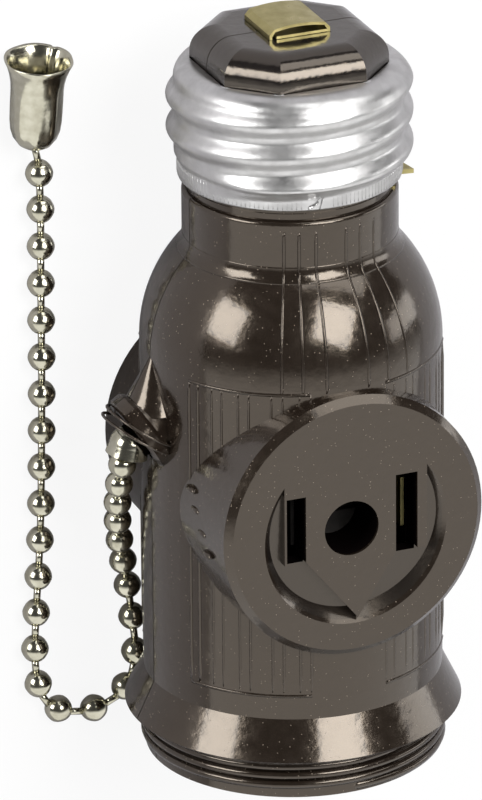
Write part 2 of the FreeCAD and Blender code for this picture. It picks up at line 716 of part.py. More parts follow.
node("rotor_shaft", at_pivot("shaft_rod", shaft, -6.4, 5.7))
node("rotor_drum", cut("drum_cut", at_pivot("drum_blank", size("rotor_radius"), -4.7, -0.5),
                       at_pivot("drum_bore", shaft, -5.0, 0.0)))
lobes = fuse("star_lobes",
             block("star_across", (pivot_x - star, pivot_x + star), (pivot_y - 1.6, pivot_y + 1.6),
                   (AXIS - 3.2, AXIS - 2.2)),
             block("star_along", (pivot_x - 1.6, pivot_x + 1.6), (pivot_y - star, pivot_y + star),
                   (AXIS - 3.2, AXIS - 2.2)),
             at_pivot("star_hub", size("rotor_radius") + 0.4, -3.2, -2.2))
star_round = common("star_round", lobes, at_pivot("star_rim", star, -3.2, -2.2))
node("rotor_star", cut("star_cut", star_round, at_pivot("star_bore", size("rotor_radius"), -4.0, -2.0)))
tooth_count = 8
teeth = []
for k in range(tooth_count):
    turn = math.radians(360.0 / tooth_count * k)
    for radius in (size("ratchet_radius"), size("ratchet_radius") - size("tooth_depth")):
        teeth.append((radius * math.cos(turn), radius * math.sin(turn)))
ratchet_blank = place(padded("ratchet_blank", "XY_Plane", teeth, 1.2, centred=False),
                      x=pivot_x, y=pivot_y, z=AXIS - 0.5)
node("ratchet_wheel", cut("ratchet_cut", ratchet_blank, at_pivot("ratchet_bore", shaft, -1.0, 2.0)))

# The lever stands at rest; its far end is bent down and slotted for the pull wire.
plate = size("lever_plate")
lift = size("lever_height")
hub = rod("lever_hub", 2.2, plate, z=lift)
collar = rod("lever_collar", 1.3, plate + 1.5, z=lift)
arm = block("lever_arm", (0.0, 10.2), (-1.0, 1.0), (lift, lift + plate))
tab = block("lever_tab", (7.0, 10.4), (-0.3, 0.3), (-2.3, lift + plate))
shaft_hole = rod("lever_shaft_hole", shaft + gap, 6.0, z=0.0)
wire_slot = block("lever_wire_slot", (7.3, 9.5), (-1.0, 1.0), (-0.65, 0.65))
lever = cut("pull_lever_cut", fuse("lever_blank", hub, collar, arm, tab),
            fuse("lever_holes", shaft_hole, wire_slot))
rest_turn = SIZES["pull_angle"] + 90.0 - half_turn
node("pull_lever", place(lever, pivot_x, pivot_y, AXIS, angle=rest_turn))
node("drive_pawl", place(padded("pawl", "XY_Plane", [
    (4.0, 0.1), (5.8, 0.1), (5.8, 0.9), (4.3, 0.9)], 2.5, centred=False),
    pivot_x, pivot_y, AXIS - 0.4, angle=rest_turn))

# The insulating base with two lugs for the contacts, the bracket, and the return spring.
base_box = block("base_box", (-7.0, 5.6), (6.0, 20.0), (AXIS - 8.6, AXIS - 5.0))
upper_lug = block("upper_lug", (half_loop + strap + 0.02, 5.4), (16.0, 19.8), (AXIS - 5.0, AXIS - 1.4))
lower_lug = block("lower_lug", (2.9, 5.1), (7.15, 8.6), (AXIS - 5.0, AXIS - 1.4))
node("switch_base", cut("base_cut", fuse("base_blank", base_box, upper_lug, lower_lug),
                        at_pivot("base_hole", shaft + gap, -9.0, -4.0)))
bracket_top = block("bracket_top", (pivot_x - 2.4, 4.5), (pivot_y - 1.8, pivot_y + 1.8),
                    (AXIS + 4.6, AXIS + 5.2))
bracket_leg = block("bracket_leg", (4.0, 4.5), (pivot_y - 1.8, pivot_y + 1.8),
                    (AXIS - 5.0, AXIS + 5.2))
spring_lug = block("spring_lug", (pivot_x + 3.2, pivot_x + 3.7), (pivot_y + 0.5, pivot_y + 2.5),
                   (AXIS + 3.0, AXIS + 4.6))
node("switch_bracket", cut("bracket_cut", fuse("bracket_blank", bracket_top, bracket_leg, spring_lug),
                           at_pivot("bracket_hole", shaft + gap, 4.0, 6.0)))
coil, grow, wire, spring_end = 1.36, 0.4, 0.25, 2.9
inner, outer = coil, coil + wire
inner_last, outer_last = (spring_end + coil + grow) / 2, (spring_end + wire * 2 + coil + grow) / 2
last_centre = (spring_end - coil - grow) / 2
node("return_spring", place(padded("spring_strip", "XY_Plane", [
    (outer, 0.0),
    (0.0, outer, outer, 1),
    (-outer, 0.0, outer, 1),
    (grow / 2, -outer - grow / 2, outer + grow / 2, 1),
    (outer + grow, 0.0, outer + grow / 2, 1),
    (0.0, outer + grow, outer + grow, 1),
    (-outer - grow, 0.0, outer + grow, 1),
    (last_centre, -outer_last, outer_last, 1),
    (spring_end + wire, 0.0, outer_last, 1),
    (spring_end + wire, 2.4),
    (spring_end, 2.4),
    (spring_end, 0.0),
    (last_centre, -inner_last, inner_last, -1),
    (-inner - grow, 0.0, inner_last, -1),
    (0.0, inner + grow, inner + grow, -1),
    (inner + grow, 0.0, inner + grow, -1),
    (grow / 2, -inner - grow / 2, inner + grow / 2, -1),
    (-inner, 0.0, inner + grow / 2, -1),
    (0.0, inner, inner, -1),
    (inner, 0.0, inner, -1),
], 1.2, centred=False), pivot_x, pivot_y, AXIS + 3.2))

# The switch's two leaf contacts: one from the line strap, one to the spring in the lamp socket.
touch_x = pivot_x + star + size("leaf_gap")
touch_y = pivot_y - star - size("leaf_gap")
low_leaf = 2.0
node("switch_in_contact", place(padded("in_leaf", "XY_Plane", [
    (touch_x, 9.6), (touch_x + leaf, 9.6), (touch_x + leaf, 16.8), (half_loop, 18.2),
    (half_loop, 19.7), (half_loop - leaf, 19.7), (half_loop - leaf, 18.35), (touch_x, 16.95),
], low_leaf), z=AXIS - 2.4))
out_leaf = place(padded("out_leaf", "XY_Plane", [
    (-4.0, touch_y), (-4.0, touch_y - leaf), (5.2, touch_y - leaf), (5.2, disc_top + leaf),
    (2.4, disc_top + leaf), (2.4, disc_top), (5.6, disc_top), (5.6, touch_y),
], low_leaf), z=AXIS - 2.4)
node("switch_out_contact", cut("out_leaf_cut", out_leaf, rivet_hole))

# The pull wire runs from the lever's slot to the coupling in the spout's mouth.
pull_x, pull_y = math.cos(turn_in), math.sin(turn_in)
wire_length = 19.0
wire_rod = rod("wire_rod", size("link_radius"), wire_length - 0.3, x=SPOUT_X + 0.3 * pull_x,
               y=SPOUT_Y + 0.3 * pull_y, z=AXIS, axis=(pull_y * -1, pull_x, 0), angle=90.0)
wire_head = rod("wire_head", 1.4, 0.9, x=SPOUT_X + 18.2 * pull_x, y=SPOUT_Y + 18.2 * pull_y,
                z=AXIS, axis=(pull_y * -1, pull_x, 0), angle=90.0)
node("pull_wire", fuse("pull_wire_blank", wire_rod, wire_head))
lip_x, lip_y, lip_turn = -19.1, 4.65, 165.5
node("chain_coupling", place(turned("coupling", [
    (0.0, -3.35), (2.15, -1.2, 2.15, 1), (2.3, 0.0), (2.0, 0.0), (1.8, -1.2), (0.0, -3.0, 1.8, -1),
]), lip_x, lip_y, AXIS, angle=lip_turn))

# The chain's way: down from the spout in a sag, then over the surface that the part lies on.
ROUTE = [
    (-19.1, 4.4, 17.2), (-18.9, 2.2, 15.6), (-17.9, -2.6, 11.9), (-16.3, -8.2, 7.6),
    (-14.3, -14.0, 3.9), (-12.8, -19.0, 1.75), (-12.3, -22.5, 1.53), (-11.9, -27.6, 1.53),
    (-13.6, -31.6, 1.53), (-18.3, -33.0, 1.53), (-22.9, -31.2, 1.53), (-23.9, -26.4, 1.53),
    (-23.6, -20.0, 1.53), (-22.9, -11.0, 1.53), (-22.6, -1.0, 1.53), (-22.4, 9.0, 1.53),
    (-22.35, 19.0, 1.53), (-22.2, 28.0, 1.53), (-22.5, 33.0, 1.9), (-22.8, 36.0, 2.6),
]
spots = [FreeCAD.Vector(*p) for p in ROUTE]
inner_knots = len(spots) - 3
curve = Part.BSplineCurve()
curve.buildFromPolesMultsKnots(
    spots, [3] + [1] * inner_knots + [3], list(range(inner_knots + 2)), False, 2)
length = curve.length()
pitch = size("bead_pitch")
bead_half = size("bead_half_length")
belt = size("bead_belt")
first_bead = 2.0


def bead_spots():
    """The beads' middles and the ways that they look, at even steps along the chain's way."""
    found = []
    along = first_bead
    while along < length - bead_half.value - 1.5:
        at = curve.parameterAtDistance(along)
        found.append((curve.value(at), curve.tangent(at)[0]))
        along += pitch.value
    return found


def lay_along(shape, spot, way):
    """A copy of a shape made about the Y axis, put at a spot and turned to look along a way."""
    copy = shape.copy()
    copy.Placement = FreeCAD.Placement(
        spot, FreeCAD.Rotation(FreeCAD.Vector(0, 1, 0), FreeCAD.Vector(way)))
    return copy


def row(name, shapes):
    whole = doc.addObject("Part::Feature", name)
    whole.Shape = Part.makeCompound(shapes)
    whole.Placement = FreeCAD.Placement()
    return node(name, whole)


bead = turned("bead", [
    (0.0, -bead_half), (size("bead_end_radius"), -bead_half), (size("bead_radius"), -belt),
    (size("bead_radius"), belt), (size("bead_end_radius"), bead_half), (0.0, bead_half)])
beads = bead_spots()
row("chain_beads", [lay_along(bead.Shape, spot, way) for spot, way in beads])

# The links between them: short wires from one bead's end to the next, and on into the bell.
bell_spot = FreeCAD.Vector(-23.16, 35.1, 2.45)
bell_way = FreeCAD.Vector(0.018, 0.993, 0.119).normalize()
link_gap = 0.04
reach_in = bead_half.value + link_gap
starts = [spot + way * reach_in for spot, way in beads]
stops = [spot - way * reach_in for spot, way in beads[1:]] + [bell_spot - bell_way * link_gap]
starts.insert(0, FreeCAD.Vector(lip_x - 0.05, lip_y - 0.2, AXIS.value - 0.1))
stops.insert(0, beads[0][0] - beads[0][1] * reach_in)
ways = [way for spot, way in beads]
links = []
for k, (start, stop) in enumerate(zip(starts, stops)):
    way = (stop - start).normalize()
    before, after = ways[max(k - 1, 0)], (ways + [bell_way])[k]
    start = start + way * (size("link_radius").value * way.cross(before).Length)
    stop = stop - way * (size("link_radius").value * way.cross(after).Length)
    way = stop - start
    wire_side = Part.makePolygon([
        FreeCAD.Vector(size("link_radius").value * math.cos(math.radians(60 * k)), 0,
                       size("link_radius").value * math.sin(math.radians(60 * k)))
        for k in range(7)])
    links.append(lay_along(Part.Face(wire_side).extrude(FreeCAD.Vector(0, way.Length, 0)), start, way))
row("chain_links", links)

# The bell at the chain's end lies on its side, folded from sheet.
bell_outer = turned("bell_outer", [
    (0.0, 0.0), (0.6, 0.0), (1.6, 0.25), (2.65, 1.7), (size("bell_radius"), 6.8),
    (size("bell_mouth_radius"), size("bell_length")), (0.0, size("bell_length"))])
bell_thick = size("bell_wall")
bell_inner = turned("bell_inner", [
    (0.0, bell_thick), (0.6, bell_thick), (1.4, bell_thick + 0.25), (2.25, 1.9),
    (size("bell_radius") - bell_thick, 6.8),
    (size("bell_mouth_radius") - bell_thick, size("bell_length")),
    (size("bell_mouth_radius") - bell_thick, size("bell_length") + 1.0),
    (0.0, size("bell_length") + 1.0)])
bell_turn = FreeCAD.Rotation(FreeCAD.Vector(0, 1, 0), bell_way)
bell = node("chain_bell", cut("bell_cut", bell_outer, bell_inner))
bell.Placement = FreeCAD.Placement(bell_spot, bell_turn)

doc.recompute()
failed = [thing.Name for thing in doc.Objects if {"Invalid", "Error"} & set(thing.State)]
if failed:
    raise RuntimeError("These did not build: " + ", ".join(failed))
for name, thing in nodes.items():
    if thing.Shape.isNull() or not thing.Shape.isValid() or not thing.Shape.Solids:
        raise RuntimeError("No sound solid came out of " + name)

os.makedirs("parts", exist_ok=True)
for name, thing in nodes.items():
    thing.Shape.exportStep("parts/%s.step" % name)
    print("%-22s %2d solids, %9.1f cubic mm" % (name, len(thing.Shape.Solids), thing.Shape.Volume))
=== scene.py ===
# %% [markdown]
# # A lamp socket adapter with a bead pull chain
# The adapter screws into a lamp's socket, holds a lamp at its other end, and has an outlet on
# each side. Here it lies on its back outlet. The frame that is loaded holds its solids at their
# real size. This lesson adds what plain solids leave out: fine relief, round beads, rolled
# sheet, finishes, lights and a camera.

import json
import math

import bmesh
import bpy
from mathutils import Matrix, Vector


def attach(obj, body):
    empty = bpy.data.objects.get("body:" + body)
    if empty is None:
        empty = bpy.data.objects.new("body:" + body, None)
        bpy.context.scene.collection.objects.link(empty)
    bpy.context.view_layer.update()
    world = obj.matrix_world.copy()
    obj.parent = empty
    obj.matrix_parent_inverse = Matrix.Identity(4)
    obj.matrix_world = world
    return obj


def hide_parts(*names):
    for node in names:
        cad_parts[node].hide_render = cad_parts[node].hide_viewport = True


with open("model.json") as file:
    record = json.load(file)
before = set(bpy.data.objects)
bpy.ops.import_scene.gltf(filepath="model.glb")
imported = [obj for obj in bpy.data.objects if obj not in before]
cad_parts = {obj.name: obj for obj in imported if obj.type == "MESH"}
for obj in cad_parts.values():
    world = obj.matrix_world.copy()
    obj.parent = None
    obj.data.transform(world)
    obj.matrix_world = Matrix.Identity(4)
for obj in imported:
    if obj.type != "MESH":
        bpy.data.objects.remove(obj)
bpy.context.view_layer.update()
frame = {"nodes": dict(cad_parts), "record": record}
nodes = frame["nodes"]
print("the frame holds", len(nodes), "nodes")

# %% [markdown]
# ## Places on the body
# The body is round about an axis that runs along +Y, so most places on it are a radius, a
# height along the axis and an angle. `around` turns those three into a point. Angle 0 looks up
# and 90 looks to +X. Lengths are in millimetres until a mesh is finished.

# %% Places
MM = 0.001
AXIS = 17.7


def around(radius, y, degrees):
    turn = math.radians(degrees)
    return Vector((radius * math.sin(turn), y, AXIS + radius * math.cos(turn)))


def round_step(value):
    """From 0 to 1 with a soft start and a soft end."""
    value = min(max(value, 0.0), 1.0)
    return value * value * (3 - 2 * value)


# %% [markdown]
# ## Mesh helpers
# Every new piece starts from one of bmesh's own shapes. `add_bar` takes a closed prism, cuts
# it along its length and lets a function put each corner where it belongs: that makes a rib, a
# thread or a crease. `add_sheet` does the same with a flat grid whose edges meet again.
# `finished` merges the doubles, turns the faces outwards and hands the piece to its body.

# %% Mesh helpers
def joined(build, extra):
    shape = bpy.data.meshes.new("extra")
    extra.to_mesh(shape)
    extra.free()
    build.from_mesh(shape)
    bpy.data.meshes.remove(shape)


def add_bar(build, sides, steps, place):
    bar = bmesh.new()
    bmesh.ops.create_cone(bar, cap_ends=True, segments=sides, radius1=1.0, radius2=1.0, depth=1.0)
    upright = [e for e in bar.edges if abs(e.verts[0].co.z - e.verts[1].co.z) > 0.5]
    bmesh.ops.subdivide_edges(bar, edges=upright, cuts=steps - 1)
    for vert in bar.verts:
        vert.co = place(vert.co.z + 0.5, vert.co.x, vert.co.y)
    joined(build, bar)


def add_sheet(build, columns, rows, place):
    sheet = bmesh.new()
    bmesh.ops.create_grid(sheet, x_segments=columns, y_segments=rows, size=1.0)
    for vert in sheet.verts:
        vert.co = place(round((vert.co.x + 1) / 2 * columns), round((vert.co.y + 1) / 2 * rows))
    joined(build, sheet)


def add_turned(build, profile, centre, axis, start, steps):
    """Spin a row of (radius, height) points about an axis; start is the way that 0 degrees looks."""
    turned = bmesh.new()
    verts = [turned.verts.new(centre + start * radius + axis * height) for radius, height in profile]
    edges = [turned.edges.new(pair) for pair in zip(verts, verts[1:])]
    bmesh.ops.spin(turned, geom=verts + edges, cent=centre, axis=axis, angle=2 * math.pi,
                   steps=steps, use_merge=True)
    joined(build, turned)


def finished(build, name, slot, body):
    bmesh.ops.remove_doubles(build, verts=build.verts, dist=0.0001)
    bmesh.ops.recalc_face_normals(build, faces=build.faces)
    bmesh.ops.scale(build, vec=(MM, MM, MM), verts=build.verts)
    for face in build.faces:
        face.smooth = True
    mesh = bpy.data.meshes.new(name)
    build.to_mesh(mesh)
    build.free()
    mesh.materials.append(finishes[slot])
    thing = bpy.data.objects.new(name, mesh)
    bpy.context.collection.objects.link(thing)
    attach(thing, body)
    print(name, "has", len(mesh.polygons), "faces")
    return thing


# %% [markdown]
# ## Shared shader groups
# Real surfaces are never one even colour. `Grain` is a soft noise that the finishes use for
# colour, roughness and relief. `Specks` is a scatter of small dots, as the filler makes in a
# dark moulding. Each is built once and placed in the materials with its own values.

# %% Shader helpers
def shader_group(name, sockets_in, sockets_out):
    group = bpy.data.node_groups.new(name, "ShaderNodeTree")
    for label, value in sockets_in:
        socket = group.interface.new_socket(label, in_out="INPUT", socket_type="NodeSocketFloat")
        socket.default_value = value
    for label in sockets_out:
        group.interface.new_socket(label, in_out="OUTPUT", socket_type="NodeSocketFloat")
    return group, group.nodes.new("NodeGroupInput"), group.nodes.new("NodeGroupOutput")


def math_node(tree, how, *values):
    node = tree.nodes.new("ShaderNodeMath")
    node.operation = how
    for socket, value in zip(node.inputs, values):
        if isinstance(value, (int, float)):
            socket.default_value = value
        else:
            tree.links.new(value, socket)
    return node.outputs[0]


# %% Grain
grain, grain_in, grain_out = shader_group(
    "Grain", [("Scale", 300.0), ("Low", 0.3), ("High", 0.7)], ["Amount", "Height"])
grain_place = grain.nodes.new("ShaderNodeTexCoord")
grain_noise = grain.nodes.new("ShaderNodeTexNoise")
grain_noise.inputs["Detail"].default_value = 4.0
grain.links.new(grain_place.outputs["Object"], grain_noise.inputs["Vector"])
grain.links.new(grain_in.outputs["Scale"], grain_noise.inputs["Scale"])
grain_range = grain.nodes.new("ShaderNodeMapRange")
grain.links.new(grain_noise.outputs["Fac"], grain_range.inputs["Value"])
grain.links.new(grain_in.outputs["Low"], grain_range.inputs["From Min"])
grain.links.new(grain_in.outputs["High"], grain_range.inputs["From Max"])
grain.links.new(grain_range.outputs["Result"], grain_out.inputs["Amount"])
grain.links.new(grain_noise.outputs["Fac"], grain_out.inputs["Height"])

# %% Specks
EMPTY_CELLS = 0.55

specks, specks_in, specks_out = shader_group("Specks", [("Scale", 900.0), ("Size", 0.18)], ["Mask"])
specks_place = specks.nodes.new("ShaderNodeTexCoord")
specks_cells = specks.nodes.new("ShaderNodeTexVoronoi")
specks.links.new(specks_place.outputs["Object"], specks_cells.inputs["Vector"])
specks.links.new(specks_in.outputs["Scale"], specks_cells.inputs["Scale"])
specks_near = math_node(specks, "LESS_THAN", specks_cells.outputs["Distance"],
                        specks_in.outputs["Size"])
specks_pick = specks.nodes.new("ShaderNodeSeparateColor")
specks.links.new(specks_cells.outputs["Color"], specks_pick.inputs["Color"])
specks_some = math_node(specks, "GREATER_THAN", specks_pick.outputs[0], EMPTY_CELLS)
specks.links.new(math_node(specks, "MULTIPLY", specks_near, specks_some), specks_out.inputs["Mask"])
print("shader groups:", grain.name, specks.name)

# %% [markdown]
# ## Finishes
# A finish is one Principled surface. Two close colours are mixed by the grain, the roughness
# runs between two values, and the same noise lifts the surface by a hair. `tint` lays another
# colour over it where a mask says so, such as painted shade down in a slot.

# %% Finish helper
def finish_of(name, colour, second, rough, metallic, scale, bump):
    material = bpy.data.materials.new(name)
    material.use_nodes = True
    tree = material.node_tree
    shader = tree.nodes["Principled BSDF"]
    shader.inputs["Metallic"].default_value = metallic
    noise = tree.nodes.new("ShaderNodeGroup")
    noise.node_tree = grain
    noise.inputs["Scale"].default_value = scale
    mix = tree.nodes.new("ShaderNodeMix")
    mix.data_type = "RGBA"
    mix.inputs["A"].default_value = (*colour, 1)
    mix.inputs["B"].default_value = (*second, 1)
    tree.links.new(noise.outputs["Amount"], mix.inputs["Factor"])
    tree.links.new(mix.outputs["Result"], shader.inputs["Base Color"])
    spread = tree.nodes.new("ShaderNodeMapRange")
    spread.inputs["To Min"].default_value, spread.inputs["To Max"].default_value = rough
    tree.links.new(noise.outputs["Amount"], spread.inputs["Value"])
    tree.links.new(spread.outputs["Result"], shader.inputs["Roughness"])
    relief = tree.nodes.new("ShaderNodeBump")
    relief.inputs["Strength"].default_value = bump
    relief.inputs["Distance"].default_value = 0.0001
    tree.links.new(noise.outputs["Height"], relief.inputs["Height"])
    tree.links.new(relief.outputs["Normal"], shader.inputs["Normal"])
    return material


def tint(material, mask, colour, rough):
    tree = material.node_tree
    shader = tree.nodes["Principled BSDF"]
    mix = tree.nodes.new("ShaderNodeMix")
    mix.data_type = "RGBA"
    mix.inputs["B"].default_value = (*colour, 1)
    tree.links.new(mask, mix.inputs["Factor"])
    tree.links.new(shader.inputs["Base Color"].links[0].from_socket, mix.inputs["A"])
    tree.links.new(mix.outputs["Result"], shader.inputs["Base Color"])
    smooth = tree.nodes.new("ShaderNodeMix")
    smooth.inputs["B"].default_value = rough
    tree.links.new(mask, smooth.inputs["Factor"])
    tree.links.new(shader.inputs["Roughness"].links[0].from_socket, smooth.inputs["A"])
    tree.links.new(smooth.outputs["Result"], shader.inputs["Roughness"])


def near(tree, value, middle_at, half):
    shifted = math_node(tree, "SUBTRACT", value, middle_at)
    return math_node(tree, "LESS_THAN", math_node(tree, "ABSOLUTE", shifted), half)


# %% [markdown]
# ## The moulding
# The body is pressed from a dark brown thermoset. Its own colour is nearly black, and what
# looks brown is the sheen of the room in its polished skin. So the base is very dark, and a
# warm specular tint gives the brown. Masks in Object coordinates paint shade into the recess
# of each outlet, paint near-black shade into the slots and the screw hole, and draw the seam
# between the two halves. Down in the slots and the hole the sheen is taken out too, as painted
# shade that keeps them black.

# %% Moulding
moulding = finish_of("body_moulding", (0.011, 0.0075, 0.0052), (0.015, 0.0105, 0.0078), (0.13, 0.2),
                     0.0, 850, 0.4)
body_tree = moulding.node_tree
body_shader = body_tree.nodes["Principled BSDF"]
body_shader.inputs["Specular Tint"].default_value = (1.0, 0.84, 0.67, 1)
body_shader.inputs["Coat Roughness"].default_value = 0.08
dots = body_tree.nodes.new("ShaderNodeGroup")
dots.node_tree = specks
dots.inputs["Scale"].default_value = 2300
dots.inputs["Size"].default_value = 0.13
tint(moulding, dots.outputs["Mask"], (0.17, 0.14, 0.11), 0.5)

body_spot = body_tree.nodes.new("ShaderNodeTexCoord")
body_split = body_tree.nodes.new("ShaderNodeSeparateXYZ")
body_tree.links.new(body_spot.outputs["Object"], body_split.inputs["Vector"])
at_x, at_y, at_z = (body_split.outputs[label] for label in "XYZ")

# %% Dark places in the moulding: the dome, painted shade and the seam
DOME_FOOT = 0.0462
FACE_DEPTH, RECESS_DEPTH = 0.01735, 0.0155
RECESS_REACH = 0.0125
HOLE_X, HOLE_REACH = -0.0005, 0.0033
# Each slot has its x, half its width and half its length.
SLOTS = ((-0.00685, 0.00115, 0.00395), (0.00585, 0.0013, 0.0047))
SLOT_Y = 0.0006
SEAM_HALF = 0.00013
SHEEN, COAT = 0.75, 0.3

tint(moulding, math_node(body_tree, "GREATER_THAN", at_y, DOME_FOOT), (0.007, 0.006, 0.006), 0.15)
from_hole = math_node(body_tree, "SUBTRACT", at_x, HOLE_X)
hole_far = math_node(body_tree, "SQRT", math_node(
    body_tree, "ADD", math_node(body_tree, "MULTIPLY", from_hole, from_hole),
    math_node(body_tree, "MULTIPLY", at_y, at_y)))
below_face = near(body_tree, at_z, AXIS * MM, FACE_DEPTH)
# Painted shade: the recess round each outlet's land is made darker than the face.
recess_shade_mask = math_node(body_tree, "MULTIPLY", math_node(body_tree, "MULTIPLY", below_face, math_node(
    body_tree, "LESS_THAN", hole_far, RECESS_REACH)), math_node(
    body_tree, "SUBTRACT", 1.0, near(body_tree, at_z, AXIS * MM, RECESS_DEPTH)))
tint(moulding, recess_shade_mask, (0.009, 0.007, 0.006), 0.24)
pit = math_node(body_tree, "LESS_THAN", hole_far, HOLE_REACH)
for slot_x, half_x, half_y in SLOTS:
    slot = math_node(body_tree, "MULTIPLY", near(body_tree, at_x, slot_x, half_x),
                     near(body_tree, at_y, SLOT_Y, half_y))
    pit = math_node(body_tree, "MAXIMUM", pit, slot)
# Painted shade: the slots and the screw hole go nearly black, and their sheen and coat are taken out.
pit_shade_mask = math_node(body_tree, "MULTIPLY", pit, below_face)
tint(moulding, pit_shade_mask, (0.003, 0.002, 0.002), 1.0)
outside_pit_shade = math_node(body_tree, "SUBTRACT", 1.0, pit_shade_mask)
body_tree.links.new(math_node(body_tree, "MULTIPLY", outside_pit_shade, SHEEN),
                    body_shader.inputs["Specular IOR Level"])
body_tree.links.new(math_node(body_tree, "MULTIPLY", outside_pit_shade, COAT),
                    body_shader.inputs["Coat Weight"])
tint(moulding, near(body_tree, at_z, AXIS * MM, SEAM_HALF), (0.003, 0.002, 0.002), 0.5)
print("moulding has", len(body_tree.nodes), "shader nodes")

# %% [markdown]
# ## The metals
# The plug shell is bright aluminium, the contacts are brass, and the chain is nickel over
# brass, so its grey is a little warm. The screw and the hot clips sit deep in the body, and
# their colour is painted shade: a near-black finish with little sheen in place of their metal.

# %% Metals
shell_metal = finish_of("plug_shell_metal", (0.62, 0.615, 0.61), (0.47, 0.465, 0.46),
                        (0.28, 0.45), 1.0, 500, 0.45)
brass = finish_of("brass_parts", (0.50, 0.44, 0.20), (0.36, 0.31, 0.13), (0.25, 0.42), 1.0, 500, 0.3)
nickel = finish_of("chain_nickel", (0.55, 0.53, 0.43), (0.42, 0.40, 0.31), (0.1, 0.22), 1.0, 900, 0.2)
steel = finish_of("steel_fixings", (0.56, 0.55, 0.53), (0.42, 0.41, 0.40), (0.25, 0.4), 1.0, 600, 0.3)
# Painted shade: a near-black finish with little sheen for the parts deep in the body.
painted_shade_fixings = finish_of("painted_shade_fixings", (0.010, 0.009, 0.008), (0.018, 0.016, 0.015), (0.5, 0.7), 0.0,
                       600, 0.3)
painted_shade_fixings.node_tree.nodes["Principled BSDF"].inputs["Specular IOR Level"].default_value = 0.1
fibre = finish_of("insulation", (0.05, 0.04, 0.034), (0.07, 0.055, 0.045), (0.5, 0.7), 0.0, 500, 0.5)

finishes = {"body_moulding": moulding, "plug_shell_metal": shell_metal, "brass_parts": brass,
            "chain_nickel": nickel, "steel_fixings": steel, "insulation": fibre}
for entry in frame["record"]["subparts"]:
    mesh = nodes[entry["node"]].data
    mesh.materials.clear()
    mesh.materials.append(finishes[entry["material_slot"]])
# The screw and the hot clips get the painted shade finish in place of their metal.
for name in ("body_screw", "front_hot_clip", "back_hot_clip"):
    nodes[name].data.materials[0] = painted_shade_fixings
print("finishes:", ", ".join(finishes))

# %% [markdown]
# ## The body's outline
# Ribs have to follow the barrel, the round shoulder and the neck. One function gives the radius
# at each height. Where the shoulder meets the neck, the moulding has a small hollow round, and
# that is where the lamps show a second time.

# %% Outline
BARREL_R, BARREL_TOP = 16.25, 15.6
SHOULDER_R = 16.2
NECK_R, NECK_START = 11.57, 26.85
FOOT_R = 2.6

chord = Vector((NECK_R - BARREL_R, NECK_START - BARREL_TOP))
lift = math.sqrt(SHOULDER_R ** 2 - (chord.length / 2) ** 2)
shoulder_middle = (Vector(((NECK_R + BARREL_R) / 2, (NECK_START + BARREL_TOP) / 2))
                   + Vector((-chord.y, chord.x)) / chord.length * lift)
foot_x = NECK_R + FOOT_R
foot_middle = Vector((foot_x, shoulder_middle.y + math.sqrt(
    (SHOULDER_R + FOOT_R) ** 2 - (foot_x - shoulder_middle.x) ** 2)))
foot_low = shoulder_middle + (foot_middle - shoulder_middle) * SHOULDER_R / (SHOULDER_R + FOOT_R)


def outline_radius(y):
    if y <= BARREL_TOP:
        return BARREL_R
    if y >= foot_middle.y:
        return NECK_R
    if y >= foot_low.y:
        return foot_middle.x - math.sqrt(FOOT_R ** 2 - (y - foot_middle.y) ** 2)
    return shoulder_middle.x + math.sqrt(SHOULDER_R ** 2 - (y - shoulder_middle.y) ** 2)


print("the hollow round runs from", round(foot_low.y, 2), "to", round(foot_middle.y, 2), "mm")

# %% [markdown]
# ## The neck's foot
# The hollow round is a lathe form, so its profile is spun about the body's axis. The profile
# goes up the hollow and comes back inside the moulding.

# %% Neck foot
FOOT_STEPS, FOOT_SIDES = 12, 144
FOOT_PROUD, FOOT_SUNK = 0.01, 0.3
UP, TO_Y = Vector((0, 0, 1)), Vector((0, 1, 0))
foot_heights = [foot_low.y + (foot_middle.y - foot_low.y) * i / FOOT_STEPS
                for i in range(FOOT_STEPS + 1)]
foot_profile = [(outline_radius(y) + FOOT_PROUD, y) for y in foot_heights]
foot_inside = NECK_R - FOOT_SUNK
foot_profile += [(foot_inside, foot_middle.y), (foot_inside, foot_low.y), foot_profile[0]]
build = bmesh.new()
add_turned(build, foot_profile, Vector((0, 0, AXIS)), TO_Y, UP, FOOT_SIDES)
finished(build, "neck_foot", "body_moulding", "housing")

# %% [markdown]
# ## Ribs
# Thin meridian ribs stand on the barrel in pairs, and single ones run up over the shoulder and
# the neck. A rib is a prism with four corners: one is its crest, two lie on the surface, and
# one is sunk, so no gap can show.

# %% Ribs
BARREL_LOW = -19.8
PAIR_HALF = 2.1
BARREL_RIBS = [17.5, 28.0, 40.8, 51.8, 62.3]
SHOULDER_RIBS = [-26, -18, -9, 8, 17, 27]
SHOULDER_FROM, SHOULDER_TO = 15.0, 32.0
RIB_SEAT, RIB_ROOT, RIB_FADE, RIB_STEPS = 0.02, 0.15, 14, 28
# A rib's height and width.
INNER_SIZE, OUTER_SIZE, SHOULDER_SIZE = (0.09, 0.34), (0.16, 0.5), (0.13, 0.42)
PANEL_TOP, PANEL_HIGH, PANEL_WIDE, PANEL_STEPS = BARREL_TOP - 0.4, 0.12, 0.45, 24


def add_rib(build, degrees, low, high, size):
    height, width = size

    def place(along_it, side, rise):
        y = low + (high - low) * along_it
        radius = outline_radius(y)
        fade = min(1.0, along_it * RIB_FADE, (1 - along_it) * RIB_FADE)
        lifted = height * fade * rise if rise > 0 else RIB_ROOT * rise
        return around(radius - RIB_SEAT + lifted, y,
                      degrees + side * math.degrees(width / 2 / radius))
    add_bar(build, 4, RIB_STEPS, place)


def add_arc(build, first, last, y):
    """A low ridge round the barrel at one height, where a panel of ribs starts or ends."""
    def place(along_it, side, rise):
        lifted = PANEL_HIGH * rise if rise > 0 else RIB_ROOT * rise
        return around(BARREL_R - RIB_SEAT + lifted, y + side * PANEL_WIDE / 2,
                      first + (last - first) * along_it)
    add_bar(build, 4, PANEL_STEPS, place)


